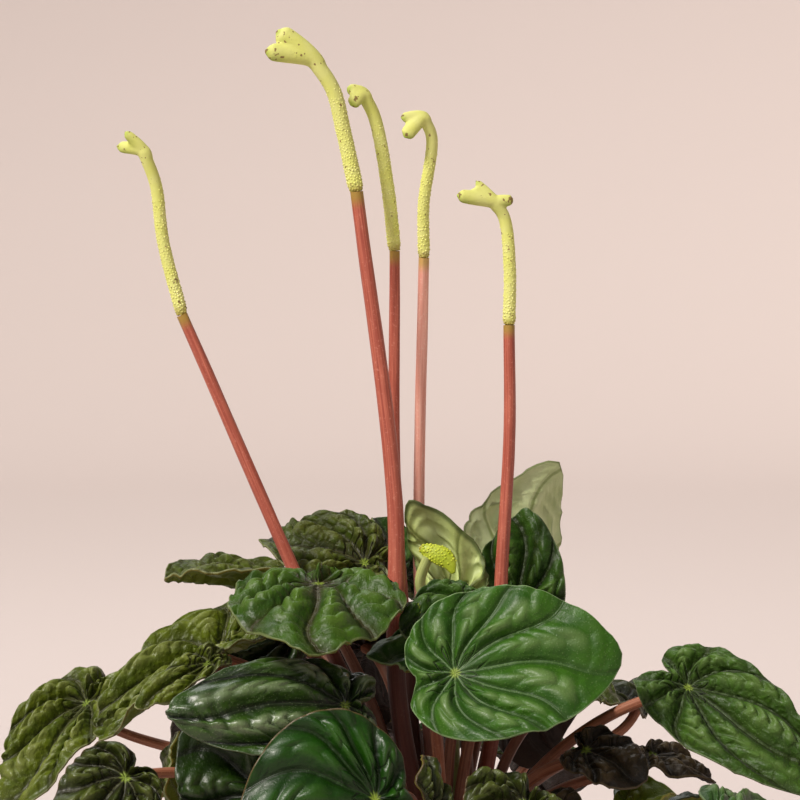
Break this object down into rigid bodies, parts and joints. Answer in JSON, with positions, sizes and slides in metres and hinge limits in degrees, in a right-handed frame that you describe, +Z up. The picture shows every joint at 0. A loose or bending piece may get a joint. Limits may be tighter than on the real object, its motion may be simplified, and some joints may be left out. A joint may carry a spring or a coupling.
{
  "type": "potted ripple peperomia",
  "caption": "Bushy house plant in a plain round pot: heart-shaped corrugated leaves on red stalks under tall pale green flower spikes with flared tips.",
  "frame": {"origin": "centre of the pot's flat base", "axes": "+Z up along the pot's axis and the flower spikes, -Y towards the plant's front, +X to its right"},
  "size_m": [0.2612, 0.254, 0.3605],
  "materials": {
    "glazed_stoneware": "smooth satin glaze, off-white",
    "potting_soil": "rough, crumbly, dark brown",
    "red_stalk": "fleshy, satin, finely streaked red",
    "leaf_blade": "waxy, satin to glossy dark green with deep furrows, paler below",
    "flower_spike": "matt, finely beaded yellow-green"
  },
  "bodies": {
    "root": {"pot": "glazed_stoneware", "soil": "potting_soil", "crown_and_petioles": "red_stalk", "leaf_01": "leaf_blade", "leaf_02": "leaf_blade", "leaf_03": "leaf_blade", "leaf_04": "leaf_blade", "leaf_05": "leaf_blade", "leaf_06": "leaf_blade", "leaf_07": "leaf_blade", "leaf_08": "leaf_blade", "leaf_09": "leaf_blade", "leaf_10": "leaf_blade", "leaf_11": "leaf_blade", "leaf_12": "leaf_blade", "leaf_13": "leaf_blade", "leaf_14": "leaf_blade", "leaf_15": "leaf_blade", "leaf_16": "leaf_blade", "leaf_17": "leaf_blade", "leaf_18": "leaf_blade", "leaf_19": "leaf_blade", "leaf_20": "leaf_blade", "leaf_21": "leaf_blade", "leaf_22": "leaf_blade", "leaf_23": "leaf_blade", "leaf_24": "leaf_blade", "leaf_25": "leaf_blade", "leaf_26": "leaf_blade", "leaf_27": "leaf_blade", "leaf_28": "leaf_blade", "leaf_29": "leaf_blade", "leaf_30": "leaf_blade", "leaf_31": "leaf_blade", "leaf_32": "leaf_blade", "leaf_33": "leaf_blade", "leaf_34": "leaf_blade", "leaf_35": "leaf_blade", "leaf_36": "leaf_blade", "leaf_37": "leaf_blade", "leaf_38": "leaf_blade", "leaf_39": "leaf_blade", "leaf_40": "leaf_blade", "leaf_41": "leaf_blade", "leaf_42": "leaf_blade", "leaf_43": "leaf_blade", "leaf_44": "leaf_blade", "flower_stalk_01": "red_stalk", "flower_spike_01": "flower_spike", "flower_stalk_02": "red_stalk", "flower_spike_02": "flower_spike", "flower_stalk_03": "red_stalk", "flower_spike_03": "flower_spike", "flower_stalk_04": "red_stalk", "flower_spike_04": "flower_spike", "flower_stalk_05": "red_stalk", "flower_spike_05": "flower_spike", "young_flower_spike": "flower_spike"}
  },
  "joints": []
}
